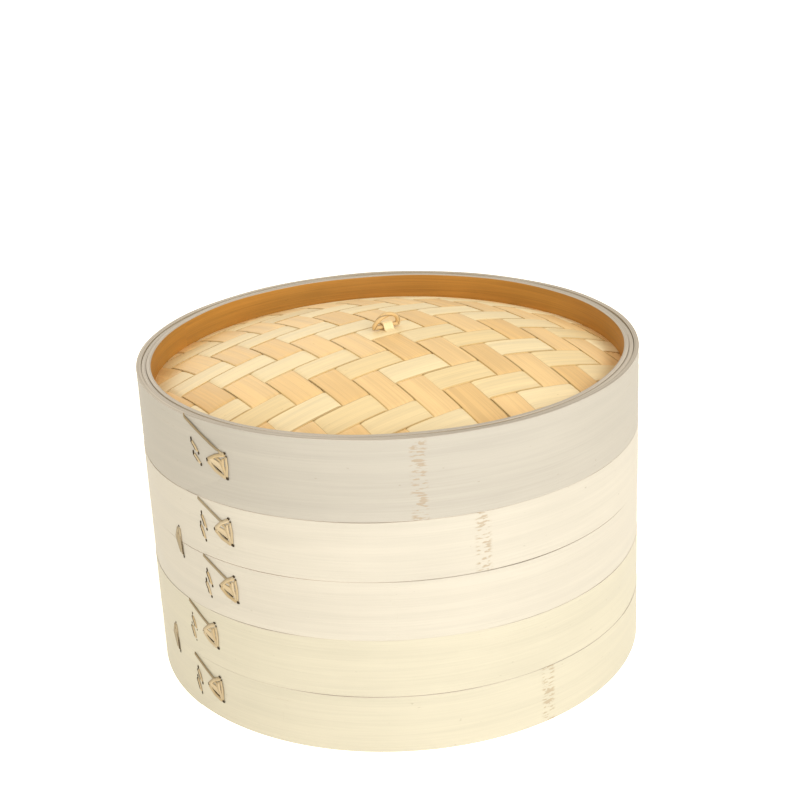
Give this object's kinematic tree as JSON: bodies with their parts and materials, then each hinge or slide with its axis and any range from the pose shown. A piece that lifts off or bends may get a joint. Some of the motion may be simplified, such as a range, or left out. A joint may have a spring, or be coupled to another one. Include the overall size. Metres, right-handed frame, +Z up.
{
  "type": "bamboo steamer basket",
  "caption": "Round stacking steamer basket of bent bamboo hoops: slotted-floor tiers that nest by their collars under a woven domed lid with a rattan loop.",
  "frame": {"origin": "centre of the lower tier's bottom edge, on the surface it stands on", "axes": "+Z up along the stack; +X to the viewer's right and +Y away from the viewer when the lashings are at the front left"},
  "size_m": [0.254, 0.254, 0.1776],
  "materials": {
    "band": "pale ivory scraped bamboo, satin, fine lengthwise grain",
    "lining": "honey bamboo, matt",
    "collar": "cream bamboo outside, honey inside, satin",
    "board": "carbonised bamboo board, golden brown, matt with grain along the slots",
    "weave": "split bamboo strips, cream to honey, satin",
    "rim": "honey bamboo hoop with a greyish tan top edge",
    "strand": "split rattan strand, straw coloured, matt"
  },
  "bodies": {
    "lower_tier": {"lower_base_band": "band", "lower_upper_band": "band", "lower_base_lining": "lining", "lower_ledge_hoop": "lining", "lower_floor_battens": "lining", "lower_floor_board": "board", "lower_upper_lining": "lining", "lower_lip_hoop": "collar", "lower_collar_hoop": "collar", "lower_base_lashing": "strand", "lower_upper_lashing": "strand", "lower_seam_stitch": "strand", "lower_collar_stitch": "strand"},
    "upper_tier": {"upper_base_band": "band", "upper_upper_band": "band", "upper_base_lining": "lining", "upper_ledge_hoop": "lining", "upper_floor_battens": "lining", "upper_floor_board": "board", "upper_upper_lining": "lining", "upper_lip_hoop": "collar", "upper_collar_hoop": "collar", "upper_base_lashing": "strand", "upper_upper_lashing": "strand", "upper_seam_stitch": "strand", "upper_collar_stitch": "strand"},
    "lid": {"lid_band": "band", "lid_skirt_hoop": "lining", "lid_filler_hoop": "rim", "lid_rim_hoop": "rim", "lid_outer_weave": "weave", "lid_inner_weave": "weave", "lid_lashing": "strand", "handle_keeper": "weave"},
    "handle": {"handle_loop": "strand"}
  },
  "joints": [
    {"name": "basket_lift", "type": "slide", "parent": "lower_tier", "child": "upper_tier", "axis": [0, 0, 1], "range_m": [0, 0.056]},
    {"name": "lid_lift", "type": "slide", "parent": "upper_tier", "child": "lid", "axis": [0, 0, 1], "range_m": [0, 0.07]},
    {"name": "handle_flop", "type": "hinge", "parent": "lid", "child": "handle", "pos_m": [0, 0, 0.1696], "axis": [0.8572, 0.515, 0], "range_deg": [-95, 55]}
  ]
}
